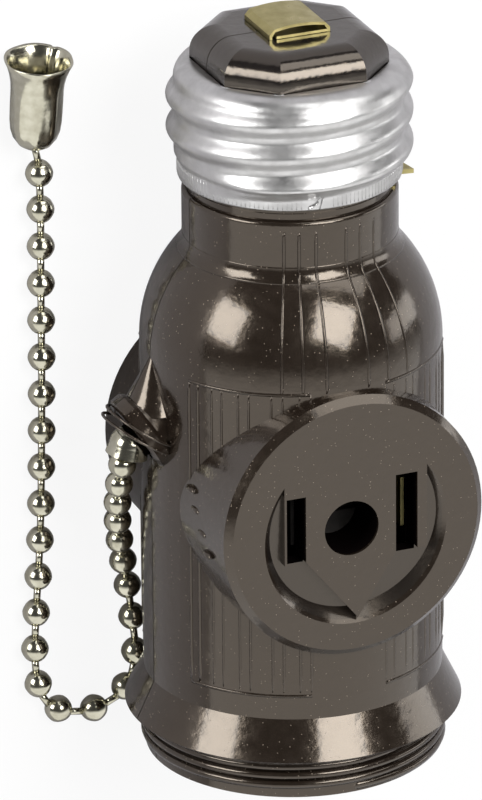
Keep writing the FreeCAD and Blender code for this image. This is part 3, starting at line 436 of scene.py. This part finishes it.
build = bmesh.new()
for back in (0, 180):
    for side in (-1, 1):
        for y in (BARREL_LOW, PANEL_TOP):
            add_arc(build, back + side * (BARREL_RIBS[0] - PAIR_HALF),
                    back + side * (BARREL_RIBS[-1] + PAIR_HALF), y)
    for degrees in BARREL_RIBS:
        size = OUTER_SIZE if degrees == BARREL_RIBS[-1] else INNER_SIZE
        for side in (-1, 1):
            for edge in (-PAIR_HALF, PAIR_HALF):
                add_rib(build, back + side * degrees + edge, BARREL_LOW, BARREL_TOP, size)
    for degrees in SHOULDER_RIBS:
        add_rib(build, back + degrees, SHOULDER_FROM, SHOULDER_TO, SHOULDER_SIZE)
finished(build, "body_ribs", "body_moulding", "housing")

# %% [markdown]
# ## The ring's thread
# The open end has a low screw thread outside, for a shade holder. It is one ridge that climbs
# round the ring, so a bar of six corners is wound along a helix, and it fades out at both ends.

# %% Ring thread
RING_R, RING_LOW, RING_HIGH = 16.1, -31.7, -27.5
RING_CREST, RING_ROOT, RING_WIDE, RING_PITCH = 0.5, 0.3, 0.95, 1.05
RING_TURNS = (RING_HIGH - RING_LOW - RING_WIDE) / RING_PITCH
RING_FADE, RING_STEPS = 12, 96


def ring_place(along_it, side, rise):
    fade = min(1.0, along_it * RING_TURNS * RING_FADE, (1 - along_it) * RING_TURNS * RING_FADE)
    y = RING_LOW + RING_WIDE / 2 + RING_PITCH * RING_TURNS * along_it + side * RING_WIDE / 2
    lifted = (rise + 0.5) / 1.5
    radius = RING_R + RING_CREST * fade * max(lifted, 0.0) + RING_ROOT * min(lifted, 0.0)
    return around(radius - RIB_SEAT, y, 360.0 * RING_TURNS * along_it)


build = bmesh.new()
add_bar(build, 6, int(RING_TURNS * RING_STEPS), ring_place)
finished(build, "ring_thread", "body_moulding", "housing")

# %% [markdown]
# ## Grips and rings
# Beside each outlet a few short raised ticks stand on its drum, and two fine ridges run round
# the band of the chain's spout. The spout looks down and to the left, 32.4 degrees off the axis.

# %% Grips
# Each tick has its y and z.
TICKS = ((3.2, 25.8), (1.3, 27.1), (-0.7, 28.9), (-2.6, 30.3))
TICK_X, TICK_LONG, TICK_WIDE, TICK_HIGH = -14.85, 2.2, 0.85, 0.45
TICK_LEAN = 0.03
SPOUT_X, SPOUT_Y, SPOUT_R = -17.4, 7.2, 4.5
SPOUT_TURN = math.radians(32.4)
LOOP_SHIFTS, LOOP_RISE, LOOP_HALF, LOOP_SUNK, LOOP_SIDES = (-0.5, 0.45), 0.2, 0.16, 0.1, 64

build = bmesh.new()
for y, z in TICKS:
    for height in (z, 2 * AXIS - z):
        tick = bmesh.ops.create_uvsphere(build, u_segments=14, v_segments=8, radius=0.5)["verts"]
        bmesh.ops.scale(build, vec=(TICK_HIGH * 2, TICK_WIDE, TICK_LONG), verts=tick)
        bmesh.ops.translate(build, vec=(TICK_X - abs(y) * TICK_LEAN, y, height), verts=tick)
finished(build, "drum_ticks", "body_moulding", "housing")

spout_way = Vector((-math.sin(SPOUT_TURN), -math.cos(SPOUT_TURN), 0))
build = bmesh.new()
for shift in LOOP_SHIFTS:
    loop = [(SPOUT_R - LOOP_SUNK + LOOP_RISE * math.sin(eighth * math.pi / 4),
             shift + LOOP_HALF * math.cos(eighth * math.pi / 4)) for eighth in range(9)]
    add_turned(build, loop, Vector((SPOUT_X, SPOUT_Y, AXIS)), spout_way, UP, LOOP_SIDES)
finished(build, "spout_rings", "body_moulding", "housing")

# %% [markdown]
# ## The chain's way
# The chain comes down from the spout and lies on the table in a long bend. Its way is a NURBS
# curve through the same points as its solids have. Blender works the curve out, and reading
# its mesh gives close points, along which a distance can be measured.

# %% Chain route
ROUTE = [
    (-19.1, 4.4, 17.2), (-18.9, 2.2, 15.6), (-17.9, -2.6, 11.9), (-16.3, -8.2, 7.6),
    (-14.3, -14.0, 3.9), (-12.8, -19.0, 1.75), (-12.3, -22.5, 1.53), (-11.9, -27.6, 1.53),
    (-13.6, -31.6, 1.53), (-18.3, -33.0, 1.53), (-22.9, -31.2, 1.53), (-23.9, -26.4, 1.53),
    (-23.6, -20.0, 1.53), (-22.9, -11.0, 1.53), (-22.6, -1.0, 1.53), (-22.4, 9.0, 1.53),
    (-22.35, 19.0, 1.53), (-22.2, 28.0, 1.53), (-22.5, 33.0, 1.9), (-22.8, 36.0, 2.6),
]
route_curve = bpy.data.curves.new("chain_route", "CURVE")
route_curve.dimensions = "3D"
spline = route_curve.splines.new("NURBS")
spline.points.add(len(ROUTE) - 1)
for point, spot in zip(spline.points, ROUTE):
    point.co = (*spot, 1)
spline.order_u = 3
spline.use_endpoint_u = True
spline.resolution_u = 40
route_object = bpy.data.objects.new("chain_route", route_curve)
route_mesh = bpy.data.meshes.new_from_object(route_object)
way = [vert.co.copy() for vert in route_mesh.vertices]
bpy.data.meshes.remove(route_mesh)
bpy.data.objects.remove(route_object)
bpy.data.curves.remove(route_curve)

lengths = [0.0]
for a, b in zip(way, way[1:]):
    lengths.append(lengths[-1] + (b - a).length)
print("the chain's way is", round(lengths[-1], 1), "mm long")


def along(distance):
    """The point at a distance along the chain's way, and the way that it looks there."""
    i = max(next(k for k, far in enumerate(lengths) if far >= distance), 1)
    step = (distance - lengths[i - 1]) / (lengths[i] - lengths[i - 1])
    return way[i - 1].lerp(way[i], step), (way[i] - way[i - 1]).normalized()


# %% [markdown]
# ## Beads and wires
# Each bead is pressed from a strip round the wire, so it is not quite a ball: it is drawn out a
# little to each end. One bead is shaped once and stamped at every place. Short bars of wire
# join the beads, and the last one goes into the bell.

# %% Chain
BEAD_R, BEAD_PITCH, FIRST_BEAD = 1.53, 4.3, 2.0
LAST_ROOM, LAST_WIRE = 2.93, 1.6
BEAD_WAIST = 0.035
LINK_R, LINK_REACH = 0.4, 1.2
BELL_TOP = Vector((-23.16, 35.1, 2.45))
SPOUT_BEAD_END = Vector((-19.15, 4.45, 17.6))


def turn_to(look):
    return UP.rotation_difference(look).to_matrix().to_4x4()


def add_wire(build, start, stop):
    bmesh.ops.create_cone(
        build, cap_ends=True, segments=10, radius1=LINK_R, radius2=LINK_R,
        depth=(stop - start).length,
        matrix=Matrix.Translation((start + stop) / 2) @ turn_to((stop - start).normalized()))


bead_form = bmesh.new()
bmesh.ops.create_uvsphere(bead_form, u_segments=24, v_segments=16, radius=BEAD_R)
for vert in bead_form.verts:
    end = abs(vert.co.z) / BEAD_R
    waist = 1.0 - BEAD_WAIST * math.sin(math.pi * end) ** 2
    vert.co = Vector((vert.co.x * waist, vert.co.y * waist, vert.co.z))
bead_mesh = bpy.data.meshes.new("bead_form")
bead_form.to_mesh(bead_mesh)
bead_form.free()

bead_spots = []
distance = FIRST_BEAD
while distance < lengths[-1] - LAST_ROOM:
    bead_spots.append(along(distance))
    distance += BEAD_PITCH
build = bmesh.new()
for spot, look in bead_spots:
    before = len(build.verts)
    build.from_mesh(bead_mesh)
    build.verts.ensure_lookup_table()
    bmesh.ops.transform(build, matrix=Matrix.Translation(spot) @ turn_to(look),
                        verts=build.verts[before:])
for (spot, look), (after, look_after) in zip(bead_spots, bead_spots[1:]):
    add_wire(build, spot + look * LINK_REACH, after - look_after * LINK_REACH)
add_wire(build, bead_spots[-1][0] + bead_spots[-1][1] * LINK_REACH, BELL_TOP)
add_wire(build, SPOUT_BEAD_END, bead_spots[0][0] - bead_spots[0][1] * LINK_REACH)
bpy.data.meshes.remove(bead_mesh)
chain = finished(build, "bead_chain", "chain_nickel", "pull_chain")
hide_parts("chain_beads", "chain_links")
print(len(bead_spots), "beads")

# %% [markdown]
# ## The plug shell
# The shell is thin sheet with a rolled thread, a short plain skirt below it and a top that
# rolls in to the octagon of the dome. The thread isn't a ridge laid on: the sheet itself is
# wavy. So a flat grid is wrapped round the axis, and each of its rows and columns takes its
# radius from the wave at that place.

# %% Plug shell sizes
SKIRT_R, SKIRT_LOW, SKIRT_TOP = 11.98, 34.45, 36.6
SHELL_ROOT, SHELL_RISE, SHELL_PITCH = 12.33, 0.82, 3.629
SHELL_START, SHELL_TURNS, SHELL_FIRST = 36.4, 2.5, 15.0
WAVE_HALF, WAVE_FADE, WAVE_FULL = 1.62, 0.12, 0.8
STEP_BELOW, STEP_HIGH = 0.3, 0.8
SHELL_TOP, SHELL_ROLL = 47.0, 1.8
SHELL_STEPS, WALL_ROWS, ROLL_ROWS = 240, 63, 8
DOME_FLAT, DOME_CORNER = 9.55, 10.25
TOP_SHEET, SKIRT_SHEET = 0.35, 0.4
INNER_BACK, INNER_DROP = 0.5, 0.9


def shell_radius(y, degrees):
    """The outer radius at a height and an angle, with the climbing wave of the thread."""
    base = SKIRT_R + (SHELL_ROOT - SKIRT_R) * round_step(
        (y - SKIRT_TOP + STEP_BELOW) / STEP_HIGH)
    best = 0.0
    for turn in range(math.ceil(SHELL_TURNS) + 1):
        run = (degrees + 90 - SHELL_FIRST) % 360 / 360 + turn
        if run <= SHELL_TURNS:
            off = min(abs(y - SHELL_START - SHELL_PITCH * run) / WAVE_HALF, 1.0)
            fade = round_step(min(run, SHELL_TURNS - run) / WAVE_FADE)
            best = max(best, fade * (0.5 + 0.5 * math.cos(math.pi * off)) ** WAVE_FULL)
    return base + SHELL_RISE * best


def octagon_radius(degrees):
    """The dome's outline: four flats at the quarters and four across the corners."""
    def flat(size, shift):
        turn = math.radians(degrees + shift)
        return size / max(abs(math.cos(turn)), abs(math.sin(turn)))
    return min(flat(DOME_FLAT, 0), flat(DOME_CORNER, 45))


# %% Plug shell
def shell_place(column, row):
    degrees = 360.0 * column / SHELL_STEPS
    wall_top = SHELL_TOP - SHELL_ROLL
    if row <= WALL_ROWS:
        y = SKIRT_LOW + (wall_top - SKIRT_LOW) * row / WALL_ROWS
        return around(shell_radius(y, degrees), y, degrees)
    row -= WALL_ROWS
    if row <= ROLL_ROWS:
        bend = math.pi / 2 * row / ROLL_ROWS
        top = shell_radius(wall_top, degrees)
        radius = top - SHELL_ROLL * (1 - math.cos(bend)) - (top - SHELL_ROOT) * row / ROLL_ROWS
        return around(radius, wall_top + SHELL_ROLL * math.sin(bend), degrees)
    row -= ROLL_ROWS
    if row <= 2:
        return around(octagon_radius(degrees), SHELL_TOP - (0.0, TOP_SHEET)[row - 1], degrees)
    if row == 3:
        return around(SHELL_ROOT - INNER_BACK, SHELL_TOP - INNER_DROP, degrees)
    if row == 4:
        return around(SKIRT_R - SKIRT_SHEET, SKIRT_LOW, degrees)
    return around(shell_radius(SKIRT_LOW, degrees), SKIRT_LOW, degrees)


build = bmesh.new()
add_sheet(build, SHELL_STEPS, WALL_ROWS + ROLL_ROWS + 5, shell_place)
plug_shell = finished(build, "rolled_plug_shell", "plug_shell_metal", "housing")
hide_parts("base_screw_shell")

# %% [markdown]
# ## The lamp's shell
# Inside the open end is the shell that takes the lamp: the same kind of rolled sheet, seen
# from within. Its thread is one even wave, so a cosine of height and angle makes it, fading out
# at the mouth and at the base.

# %% Lamp shell
LAMP_MOUTH, LAMP_BASE, LAMP_HOLE = -29.0, -8.6, 8.0
LAMP_MIDDLE, LAMP_WAVE, LAMP_SHEET = 13.0, 0.44, 0.3
LAMP_STEPS, LAMP_ROWS = 160, 60
LAMP_FADE, LAMP_PLAIN = 1.5, 0.4


def lamp_inside(y, degrees):
    fade = round_step((y - LAMP_MOUTH) / LAMP_FADE) * round_step(
        (LAMP_BASE - LAMP_PLAIN - y) / LAMP_FADE)
    wave = math.cos(2 * math.pi * (y / SHELL_PITCH - degrees / 360))
    return LAMP_MIDDLE + LAMP_WAVE * (1 - fade + fade * wave)


def lamp_place(column, row):
    degrees = 360.0 * column / LAMP_STEPS
    if row <= LAMP_ROWS:
        y = LAMP_MOUTH + (LAMP_BASE - LAMP_MOUTH) * row / LAMP_ROWS
        return around(lamp_inside(y, degrees) + LAMP_SHEET, y, degrees)
    row -= LAMP_ROWS
    floor_y = LAMP_BASE - LAMP_SHEET
    if row <= 2:
        return around(LAMP_HOLE, (LAMP_BASE, floor_y)[row - 1], degrees)
    row -= 3
    if row <= LAMP_ROWS:
        y = floor_y + (LAMP_MOUTH - floor_y) * row / LAMP_ROWS
        return around(lamp_inside(y, degrees), y, degrees)
    return around(lamp_inside(LAMP_MOUTH, degrees) + LAMP_SHEET, LAMP_MOUTH, degrees)


build = bmesh.new()
add_sheet(build, LAMP_STEPS, 2 * LAMP_ROWS + 4, lamp_place)
lamp_shell = finished(build, "rolled_lamp_shell", "plug_shell_metal", "housing")
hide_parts("lamp_screw_shell")

# %% [markdown]
# ## Marks of the press on the skirt
# The tool that staked the shell left fine upright lines all round the skirt, and one short
# fold in front where the sheet was pushed in.

# %% Skirt marks
LINE_STEP, LINES_END, LINE_HALF = 2.4, 345, 0.4
LINE_LOW, LINE_LONG, LINE_SUNK, LINE_HIGH = 34.6, 1.7, 0.05, 0.11
# The fold's points have an angle and a y.
FOLD = [(-13.0, 34.75), (-10.5, 34.95), (-8.6, 35.25), (-7.6, 35.9), (-7.0, 36.5), (-5.4, 36.75),
        (-3.0, 36.85), (-1.0, 36.8)]
FOLD_THICK, FOLD_PROUD, FOLD_LEAN = 0.2, 0.07, 0.6
CREASE_THICK, CREASE_TURN, CREASE_DROP = 0.14, 1.2, 0.65


def add_line(build, degrees):
    add_bar(build, 3, 3, lambda along_it, side, rise: around(
        SKIRT_R - LINE_SUNK + LINE_HIGH * max(rise, 0.0), LINE_LOW + LINE_LONG * along_it,
        degrees + side * LINE_HALF))


def add_fold(build, points, thick):
    def place(along_it, side, rise):
        degrees, y = points[min(round(along_it * (len(points) - 1)), len(points) - 1)]
        return around(SKIRT_R + FOLD_PROUD + rise * thick, y + side * thick,
                      degrees + math.degrees(side * thick * FOLD_LEAN / SKIRT_R))
    add_bar(build, 8, len(points) - 1, place)


build = bmesh.new()
for k in range(math.ceil(LINES_END / LINE_STEP)):
    add_line(build, LINE_STEP * k)
finished(build, "skirt_lines", "plug_shell_metal", "housing")

crease = [(degrees + CREASE_TURN, y - CREASE_DROP) for degrees, y in FOLD[2:]]
build = bmesh.new()
add_fold(build, FOLD, FOLD_THICK)
add_fold(build, crease, CREASE_THICK)
finished(build, "skirt_fold", "plug_shell_metal", "housing")

# %% [markdown]
# ## The bell
# The chain ends in a bell folded from sheet: round at its top, straight, and flared at its
# mouth. Its profile is spun like any lathe form, and then the mesh is dented along one side,
# where the sheet's two edges meet, and waved a little at the mouth.

# %% Bell
# The profile's points have a radius and a distance from the bell's top.
BELL_PROFILE = [(0.0, 0.0), (0.55, 0.0), (1.2, 0.12), (1.85, 0.55), (2.35, 1.25), (2.62, 2.1),
                (2.74, 3.2), (2.78, 5.0), (2.8, 6.8), (2.9, 7.8), (3.12, 8.8), (3.42, 9.7),
                (3.74, 10.4), (3.68, 10.55), (3.42, 10.35), (3.1, 9.6), (2.82, 8.7), (2.6, 7.7),
                (2.5, 6.8), (2.48, 5.0), (2.42, 3.3), (2.2, 2.2), (1.7, 1.2), (1.0, 0.6),
                (0.3, 0.45), (0.0, 0.45)]
BELL_SEAM, SEAM_WIDE, SEAM_DEEP = 40.0, 4.0, 0.3
BELL_WAY = Vector((0.018, 0.993, 0.119)).normalized()
BELL_SIDES, CROWN_R = 96, 0.5
WAVES, WAVE_DEEP, WAVE_FROM, WAVE_LONG = 6, 0.05, 7, 3
FLATS, FLAT_DEEP, FLAT_END, FLAT_LONG = 8, 0.06, 8.0, 2

build = bmesh.new()
add_turned(build, BELL_PROFILE, Vector((0, 0, 0)), UP, Vector((1, 0, 0)), BELL_SIDES)
for vert in build.verts:
    radius, height = vert.co.xy.length, vert.co.z
    if radius > CROWN_R:
        turn = math.degrees(math.atan2(vert.co.y, vert.co.x))
        seam = math.exp(-((((turn - BELL_SEAM + 180) % 360 - 180) / SEAM_WIDE) ** 2))
        wave = WAVE_DEEP * math.sin(math.radians(turn * WAVES)) * round_step(
            (height - WAVE_FROM) / WAVE_LONG)
        flats = FLAT_DEEP * math.cos(math.radians(turn * FLATS)) * round_step(
            height / FLAT_LONG) * round_step((FLAT_END - height) / FLAT_LONG)
        change = wave - flats - SEAM_DEEP * seam * round_step(height)
        vert.co.xy = vert.co.xy * (radius + change) / radius
bmesh.ops.transform(build, matrix=Matrix.Translation(BELL_TOP) @ turn_to(BELL_WAY),
                    verts=build.verts)
bell = finished(build, "folded_bell", "chain_nickel", "pull_chain")
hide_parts("chain_bell")

# %% [markdown]
# ## The chain is limp.

# %% [markdown]
# ## The floor
# A pale floor catches the object's shadow. The camera sees most of it as plain white, through
# Light Path, and no more light falls on the object for that. Glossy surfaces see it greyer.

# %% Floor
FLOOR_SEEN_WHITE, FLOOR_HALF = 0.9, 3.0
FLOOR_COLOUR, FLOOR_IN_GLOSS = (0.93, 0.93, 0.93, 1), (0.52, 0.51, 0.53, 1)
floor_material = bpy.data.materials.new("floor")
floor_material.use_nodes = True
floor_tree = floor_material.node_tree
floor_shader = floor_tree.nodes["Principled BSDF"]
floor_shader.inputs["Roughness"].default_value = 0.9
floor_glow = floor_tree.nodes.new("ShaderNodeEmission")
floor_path = floor_tree.nodes.new("ShaderNodeLightPath")
floor_dark = floor_tree.nodes.new("ShaderNodeMix")
floor_dark.data_type = "RGBA"
floor_dark.inputs["A"].default_value = FLOOR_COLOUR
floor_dark.inputs["B"].default_value = FLOOR_IN_GLOSS
floor_tree.links.new(floor_path.outputs["Is Glossy Ray"], floor_dark.inputs["Factor"])
floor_tree.links.new(floor_dark.outputs["Result"], floor_shader.inputs["Base Color"])
floor_mix = floor_tree.nodes.new("ShaderNodeMixShader")
floor_tree.links.new(math_node(floor_tree, "MULTIPLY", floor_path.outputs["Is Camera Ray"],
                               FLOOR_SEEN_WHITE), floor_mix.inputs["Fac"])
floor_tree.links.new(floor_shader.outputs["BSDF"], floor_mix.inputs[1])
floor_tree.links.new(floor_glow.outputs["Emission"], floor_mix.inputs[2])
floor_tree.links.new(floor_mix.outputs["Shader"], floor_tree.nodes["Material Output"].inputs["Surface"])
build = bmesh.new()
bmesh.ops.create_grid(build, x_segments=1, y_segments=1, size=FLOOR_HALF)
floor_mesh = bpy.data.meshes.new("floor")
build.to_mesh(floor_mesh)
build.free()
floor_mesh.materials.append(floor_material)
floor = bpy.data.objects.new("floor", floor_mesh)
bpy.context.collection.objects.link(floor)

# %% [markdown]
# ## The lamps
# Soft square lamps stand round the object. Each one shows as a bright patch where the polished
# moulding mirrors it, so its direction is chosen for the patch as much as for the light.

# %% Lamps
MIDDLE, LAMP_FAR = Vector((0.0, 0.01, 0.0177)), 0.8


def softbox(name, direction, size, watts):
    lamp = bpy.data.lights.new(name, "AREA")
    lamp.shape = "RECTANGLE"
    lamp.size, lamp.size_y = size
    lamp.energy = watts
    thing = bpy.data.objects.new(name, lamp)
    spot = MIDDLE + Vector(direction).normalized() * LAMP_FAR
    thing.location = spot
    thing.rotation_euler = (MIDDLE - spot).to_track_quat("-Z", "Y").to_euler()
    bpy.context.collection.objects.link(thing)


softbox("key", (0.22, 0.44, 0.87), (0.42, 0.42), 5.5)
softbox("left", (-0.90, 0.40, 0.21), (0.38, 0.36), 3.8)
softbox("right", (0.97, 0.1, 0.25), (0.2, 0.5), 0.9)
softbox("top", (0.34, 0.86, 0.40), (0.7, 0.36), 2.2)

# %% [markdown]
# ## The room
# A studio is bright in front and dark behind the lamps. Mirrors of it make the barrel and the
# outlet's face lighter and leave the shoulder dark. So glossy rays see a world that is bright
# towards -Y and falls to dark grey past the middle, while everything else gets an even light.

# %% World
ROOM_LIGHT, ROOM_BRIGHT, ROOM_DARK = 0.28, 1.3, 0.08
BRIGHT_BELOW, DARK_ABOVE = -0.34, -0.06
world = bpy.data.worlds.new("studio")
bpy.context.scene.world = world
world.use_nodes = True
sky = world.node_tree
sky_spot = sky.nodes.new("ShaderNodeTexCoord")
sky_split = sky.nodes.new("ShaderNodeSeparateXYZ")
sky.links.new(sky_spot.outputs["Generated"], sky_split.inputs["Vector"])
sky_range = sky.nodes.new("ShaderNodeMapRange")
sky_range.inputs["From Min"].default_value = BRIGHT_BELOW
sky_range.inputs["From Max"].default_value = DARK_ABOVE
sky_range.inputs["To Min"].default_value = ROOM_BRIGHT
sky_range.inputs["To Max"].default_value = ROOM_DARK
sky.links.new(sky_split.outputs["Y"], sky_range.inputs["Value"])
sky_path = sky.nodes.new("ShaderNodeLightPath")
sky_mix = sky.nodes.new("ShaderNodeMix")
sky_mix.inputs["A"].default_value = ROOM_LIGHT
sky.links.new(sky_range.outputs["Result"], sky_mix.inputs["B"])
sky.links.new(sky_path.outputs["Is Glossy Ray"], sky_mix.inputs["Factor"])
sky_light = sky.nodes["Background"]
sky_light.inputs["Color"].default_value = (1, 1, 1, 1)
sky.links.new(sky_mix.outputs["Result"], sky_light.inputs["Strength"])

# %% [markdown]
# ## The camera
# The camera stands far off with a long lens, so the view is nearly parallel, as in a product
# picture. Its right, up and back directions make up its turn.

# %% Camera
CAMERA_LENS, SENSOR_HIGH = 420.28, 36.0
CAMERA_SPOT = Vector((-0.353609, 0.403628, 0.868048))
CAMERA_RIGHT = Vector((0.92427, -0.00784, 0.38166))
CAMERA_UP = Vector((0.15739, 0.91869, -0.36227))
camera_data = bpy.data.cameras.new("camera")
camera = bpy.data.objects.new("camera", camera_data)
bpy.context.collection.objects.link(camera)
camera_turn = Matrix((CAMERA_RIGHT, CAMERA_UP, CAMERA_RIGHT.cross(CAMERA_UP))).transposed().to_4x4()
camera.matrix_world = Matrix.Translation(CAMERA_SPOT) @ camera_turn
camera_data.sensor_fit = "VERTICAL"
camera_data.sensor_height = SENSOR_HIGH
camera_data.lens = CAMERA_LENS
camera_data.clip_start = 0.01
camera_data.clip_end = 20.0
bpy.context.scene.camera = camera
bpy.context.scene.view_settings.view_transform = "Standard"
